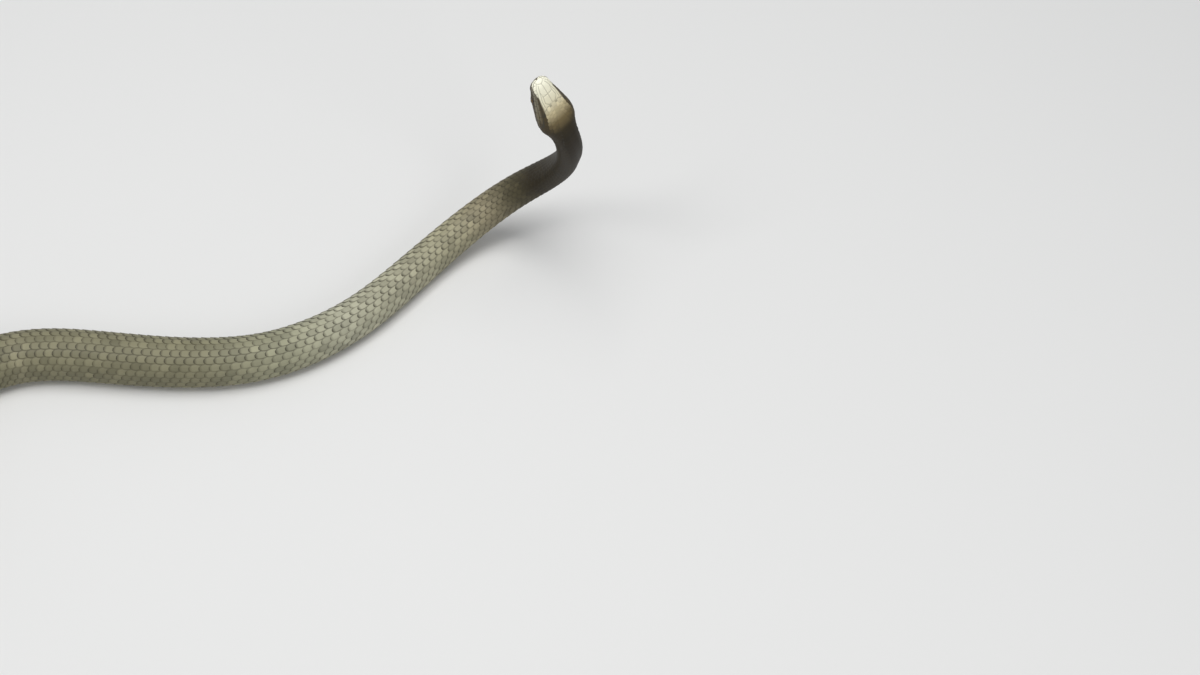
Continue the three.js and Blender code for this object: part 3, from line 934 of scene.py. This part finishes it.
def layTiles(tile, root, step, middleShare, halfShare):
    # faces and bake map of many tiles. Each has the patch of its own root and row.
    count, size = len(root), len(tile["u"])
    first = (np.arange(count) * size)[:, None, None]
    faces = [(tile[key][None] + first).reshape(-1, tile[key].shape[1])
             for key in ("triangles", "quads")]
    low, high = root.min(), (root + step).max()
    spots = []
    for key in ("triangleSpots", "quadSpots"):
        along = root[:, None, None] + tile[key][None, ..., 0] * step[:, None, None] - low
        along = tileMap["edge"] + tileMap["length"] * along / (high - low)
        around = middleShare[:, None, None] + tile[key][None, ..., 1] * halfShare[:, None, None]
        spots.append(np.stack([along, mapMiddle + mapReach * around], -1))
    return faces, np.concatenate([s.reshape(-1, 2) for s in spots])


def tileAt(tile, root, reach):
    at = root[:, None] + tile["u"] * reach[:, None]
    return np.clip(at, 0, cobra["length"] - cobra["coatEndsBefore"])


def tilePoints(tile, at, share):
    # a height of 1 in the tile is the body's own surface
    angle = angleOf(at, share)
    lift = coatDepth(at) * (tile["h"] - 1)
    return surface(at, angle) + outward(at, angle) * lift[..., None]


def scaleTemplate():
    # one scale as a domed tile with a rounded tip
    along = np.array(rows["along"])
    u, v = np.meshgrid(along, np.linspace(-1, 1, rows["across"]), indexing="ij")
    sides, tip = np.abs(v) == 1, u == along[-1]
    height = rows["lift"] * u - rows["rootSink"]
    height = height - np.where(sides | tip | (u == 0), rows["rimDrop"], 0)
    height += rows["dome"] * (1 - v ** 2) * np.sin(u * math.pi * rows["domeWave"])
    shade = np.maximum(sides * rows["sideShade"], (u >= along[-2]) * rows["tipShade"])
    shade = np.where(tip, 1, shade)
    rootWidth, swell = rows["shoulder"]
    shoulderAt, taperAt = rows["shoulderUntil"], rows["taperFrom"]
    shoulder = rootWidth + swell * np.sin(np.clip(u / shoulderAt, 0, 1) * math.pi / 2)
    taper = (np.clip(u - taperAt, 0, 1) / (1 - taperAt)) ** rows["taperPower"]
    v = v * np.where(u < shoulderAt, shoulder, np.sqrt(np.clip(1 - taper, 0, 1)))
    u = u + np.where(tip, rows["tipBulge"] * (1 - v ** 2), 0)
    return tileTemplate(u, v, height, shade, rows["thick"], rows["underside"])


def dorsalScales():
    # root distance, middle share, half width and row of every dorsal scale
    stations = plateStations()
    found = []
    for row in range(-rows["most"], rows["most"] + 1):
        side = abs(row)
        at = stations.copy()
        if side % 2:
            at = at + 0.5 * np.interp(at, rows["pitchAt"], rows["pitch"])
        keep = (at >= rows["starts"][side]) & (at < cobra["length"] - rows["endsBefore"])
        keep &= rowWeights(at)[side] > rows["leastWeight"]
        at = at[keep]
        edges = rowEdges(at)
        inner = -edges[0] if side == 0 else edges[side - 1]
        middle, half = (inner + edges[side]) / 2, (edges[side] - inner) / 2
        found.append(np.stack([at, middle * np.sign(row), half, np.full(len(at), row)], 1))
    return np.concatenate(found)


def placeScales(scales, tone):
    # every point of every scale, laid on the curved body
    tile = scaleTemplate()
    root, middle, half, row = scales.T
    step = np.interp(root, rows["pitchAt"], rows["pitch"])
    at = tileAt(tile, root, rows["lengthShare"] * step)
    slant = np.sign(row) * np.array(rows["slant"])[np.abs(row).astype(int)] * half * 2
    share = middle[:, None] / dorsalShare(root)[:, None] * dorsalShare(at)
    share = share + tile["v"] * (half * 2 * rows["widthShare"])[:, None]
    share = share + tile["u"] * slant[:, None]
    faces, bakeMap = layTiles(tile, root, step, middle, half)
    lowRow = stretch(np.abs(middle) / dorsalShare(root), *rows["paleRow"])
    lowRow = lowRow * rows["paleRowShade"] * stretch(root, *rows["paleRowFrom"])
    throat = bellyMask(root + step * rows["bareShare"], middle)
    size = len(tile["u"])
    # a darker line runs along each side of the spine
    edgeShade = np.where(np.isin(np.abs(row), rows["darkRows"]), rows["darkRim"], rows["rim"])
    rim = np.minimum(np.tile(tile["rim"], len(root)) * np.repeat(edgeShade, size), 1)
    looks = {"bodyAt": at.ravel() * mm, "belly": np.repeat(np.maximum(lowRow, throat), size),
             "tone": np.repeat(tone, size), "rim": rim}
    return tilePoints(tile, at, share).reshape(-1, 3), faces, looks, bakeMap


def buildScales(material):
    scales = dorsalScales()
    tone = np.clip(dice.normal(0.5, rows["toneSpread"], len(scales)), 0, 1)
    ends = rows["pieceEnds"]
    for number, (low, high) in enumerate(zip(ends[:-1], ends[1:]), 1):
        inside = (scales[:, 0] >= low) & (scales[:, 0] < high)
        points, faces, looks, bakeMap = placeScales(scales[inside], tone[inside])
        makePiece(f"scales_{number}", points, faces, material, looks, bakeMap,
                  sharp=rows["sharpAngle"])


plates = {
    "from": 35,
    "lengthShare": 1.34,
    "endsBefore": 6,
    "along": [0, 0.3, 0.6, 0.84, 0.95, 1.0],
    "across": 21,
    "lift": 0.92,
    "liftPower": 0.9,
    "rootSink": 0.12,
    "rearDrop": 0.06,
    "sideDrop": 0.25,
    "drawIn": 0.30,
    "drawInFrom": 0.80,
    "drawInOver": 0.20,
    "thick": 0.34,
    "underside": -1.5,
    "leastHeight": 0.02,
    "overlap": 0.012,
    "pairedFrom": 3330,
    "rim": 0.72,
    "toneSpread": 0.16,
    "sharpAngle": 50,
    "pieceEnds": [0, 330, 1370, 2500, cobra["length"]],
}


def plateTemplate():
    # one belly plate: straight rear edge, ends drawn in, set a little lower at its sides
    u, v = np.meshgrid(np.array(plates["along"]), np.linspace(-1, 1, plates["across"]),
                       indexing="ij")
    sides, rear = np.abs(v) == 1, u == 1
    height = plates["lift"] * u ** plates["liftPower"] - plates["rootSink"]
    height = height - np.where(rear, plates["rearDrop"], 0)
    height = height - np.where(sides, plates["sideDrop"], 0)
    drawn = np.clip((np.abs(v) - plates["drawInFrom"]) / plates["drawInOver"], 0, 1) ** 2
    u = u * (1 - plates["drawIn"] * drawn)
    return tileTemplate(u, v, height, sides | rear, plates["thick"], plates["underside"])


def plateSpans():
    # root, step, middle share and half width of every plate. Whole plates lie across the
    # belly's midline at share 1, and those under the tail lie in pairs beside it.
    spans = []
    for at in plateStations()[:-1]:
        if at < plates["from"]:
            continue
        step = np.interp(at, rows["pitchAt"], rows["pitch"])
        edge = float(dorsalShare(at)) - plates["overlap"]
        if at < plates["pairedFrom"]:
            spans.append((at, step, 1, 1 - edge))
        else:
            middle, half = (1 + edge) / 2, (1 - edge) / 2 + plates["overlap"]
            spans.append((at, step, middle, half))
            spans.append((at + step * 0.5, step, -middle, half))
    return np.array(spans)


def buildPlates(material):
    spans = plateSpans()
    tones = np.clip(dice.normal(0.5, plates["toneSpread"], len(spans)), 0, 1)
    tile, ends = plateTemplate(), plates["pieceEnds"]
    for number, (low, high) in enumerate(zip(ends[:-1], ends[1:]), 1):
        inside = (spans[:, 0] >= low) & (spans[:, 0] < high)
        root, step, middle, half = spans[inside].T
        at = tileAt(tile, root, plates["lengthShare"] * step)
        share = (middle[:, None] + tile["v"] * half[:, None] + 1) % 2 - 1
        points = tilePoints(tile, at, share)
        raised = np.maximum(points[..., 2], plates["leastHeight"])
        points[..., 2] = np.where(at > cobra["liftOffAt"], raised, points[..., 2])
        # in the bake map the belly is spread over the whole height, its midline in the middle
        belowHalf = np.where(middle == 1, 0, np.sign(middle) * (1 - np.abs(middle)))
        spread = tileMap["bellySpread"]
        faces, bakeMap = layTiles(tile, root, step, belowHalf * spread, half * spread)
        size = len(tile["u"])
        looks = {"bodyAt": at.ravel() * mm, "belly": np.ones(at.size),
                 "tone": np.repeat(tones[inside], size),
                 "rim": np.tile(tile["rim"], len(root)) * plates["rim"]}
        makePiece(f"belly_plates_{number}", points.reshape(-1, 3), faces, material,
                  looks, bakeMap, sharp=plates["sharpAngle"])


# Colours from the middle of the pupil, 0, to the back of the ball, 1
eyeFinish = {
    "colours": [(0.0, (0.003, 0.002, 0.002)), (0.125, (0.003, 0.002, 0.002)),
                (0.138, (0.34, 0.21, 0.07)), (0.160, (0.15, 0.085, 0.030)),
                (0.22, (0.070, 0.038, 0.016)), (0.28, (0.020, 0.012, 0.007)),
                (1.0, (0.010, 0.007, 0.005))],
    "fleck": 2600,
    "fleckReach": 0.03,
    "roughness": 0.24,
    "fleckShare": 0.06,
    "coat": 0.7,
    "coatRoughness": 0.03,
    "gloss": 0.2,
}


def eyePaint():
    paint = Paint("eyePaint")
    fleck = paint.noise(eyeFinish["fleck"], 3.0, 0.7)
    ring = paint.look("fromPupil") + (fleck - 0.5) * eyeFinish["fleckReach"]
    rough = eyeFinish["roughness"] + fleck * eyeFinish["fleckShare"]
    return paint.finish(Base_Color=paint.ramp(ring, eyeFinish["colours"]), Roughness=rough,
                        Coat_Weight=eyeFinish["coat"], Coat_Roughness=eyeFinish["coatRoughness"],
                        Specular_IOR_Level=eyeFinish["gloss"])


def buildEye(name, sign, material):
    centre, out = eyeAxis(sign)
    ahead = bellyFrame(np.array([float(eye["at"])]))[1][0]
    out = unit(out + ahead * eye["turnAhead"])
    sideways = unit(np.cross(out, ahead))
    upward = np.cross(sideways, out)
    sides = eye["sides"]
    polar = np.linspace(0, math.pi, eye["rings"] + 1)[1:-1]
    tilt, around = flatGrid(polar, np.arange(sides) / sides * 2 * math.pi)
    ball = (np.cos(tilt)[:, None] * out + np.sin(tilt)[:, None]
            * (np.cos(around)[:, None] * sideways + np.sin(around)[:, None] * upward))
    ball = np.concatenate([[out], ball, [-out]])
    points = centre + ball * (eye["radius"] - eye["clearance"])
    backPoint = len(points) - 1
    caps = [ringCap(0, 1, sides), ringCap(backPoint, backPoint - sides, sides)[:, [0, 2, 1]]]
    faces = [np.concatenate(caps), ringQuads(1, len(polar), sides)]
    fromPupil = np.concatenate([[0], tilt, [math.pi]]) / math.pi
    around = np.concatenate([[0], around, [0]])
    circle = np.stack([np.cos(around), np.sin(around)], 1)
    bakeMap = mapMiddle + mapReach * fromPupil[:, None] * circle
    return makePiece(name + "_ball", points, faces, material,
                     {"fromPupil": fromPupil}, bakeMap, replaced=(name,))


stage = {
    "reach": 30.0,
    "level": -0.0004,
    "colours": ((0.74, 0.735, 0.72), (0.77, 0.765, 0.75)),
    "patches": 1.5,
    "patchStrength": 0.4,
    "roughness": 0.85,
}


def buildStage():
    paint = Paint("floorPaint")
    patches = paint.noise(stage["patches"], 2.0) * stage["patchStrength"]
    material = paint.finish(Base_Color=paint.mix(patches, *stage["colours"]),
                            Roughness=stage["roughness"])
    mesh = bpy.data.meshes.new("floor")
    reach, level = stage["reach"], stage["level"]
    mesh.from_pydata([(-reach, -reach, level), (reach, -reach, level), (reach, reach, level),
                      (-reach, reach, level)], [], [(0, 1, 2, 3)])
    mesh.materials.append(material)
    floor = bpy.data.objects.new("floor", mesh)
    bpy.context.scene.collection.objects.link(floor)


lamps = [
    {"name": "sky", "place": (0.1, 0.2, 3.4), "aim": (0.0, 0.0, 0.1), "size": 2.4, "power": 64},
    {"name": "key", "place": (-1.4, -0.9, 2.8), "aim": (0.1, 0.05, 0.15), "size": 1.0, "power": 20},
    {"name": "fill", "place": (1.7, -2.0, 1.7), "aim": (0.25, 0.05, 0.3), "size": 1.1, "power": 12},
]
sky = {"colour": (0.93, 0.96, 1.0, 1), "strength": 0.40}


def buildLights():
    for lamp in lamps:
        light = bpy.data.lights.new(lamp["name"], "AREA")
        light.size, light.energy = lamp["size"], lamp["power"]
        holder = bpy.data.objects.new(lamp["name"], light)
        holder.location = lamp["place"]
        aim = Vector(lamp["aim"]) - Vector(lamp["place"])
        holder.rotation_euler = aim.to_track_quat("-Z", "Y").to_euler()
        bpy.context.scene.collection.objects.link(holder)
    world = bpy.data.worlds.new("studio")
    bpy.context.scene.world = world
    world.use_nodes = True
    background = world.node_tree.nodes["Background"]
    background.inputs[0].default_value = sky["colour"]
    background.inputs[1].default_value = sky["strength"]
    bpy.context.scene.view_settings.view_transform = "Standard"


# The camera looks down at about 50 degrees. One pixel of the 1200 wide frame is 1.28 mm
# at its aim, 3.6 m away.
shot = {
    "place": (0.3082, -2.3342, 2.7578),
    "lookDown": 50,
    "pixelSize": 0.00128,
    "distance": 3.6,
    "frameWidth": 1200,
    "sensorWidth": 36,
    "clipEnd": 200,
}


def buildCamera():
    camera = bpy.data.cameras.new("camera")
    camera.sensor_width = shot["sensorWidth"]
    seenWidth = shot["pixelSize"] * shot["frameWidth"]
    camera.lens = shot["distance"] / seenWidth * shot["sensorWidth"]
    camera.clip_end = shot["clipEnd"]
    holder = bpy.data.objects.new("camera", camera)
    holder.location = shot["place"]
    holder.rotation_euler = ((90 - shot["lookDown"]) * degree, 0, 0)
    bpy.context.scene.collection.objects.link(holder)
    bpy.context.scene.camera = holder


buildCamera()
buildLights()
buildStage()
print("set the camera, the lights and the floor")
fleshNodes = [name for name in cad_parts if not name.startswith("eye")]
scaleMaterial = scalePaint()
buildSkin(skinPaint(), fleshNodes)
buildScales(scaleMaterial)
buildPlates(scaleMaterial)
eyeMaterial = eyePaint()
buildEye("eye_left", 1, eyeMaterial)
buildEye("eye_right", -1, eyeMaterial)
print("built the cobra")
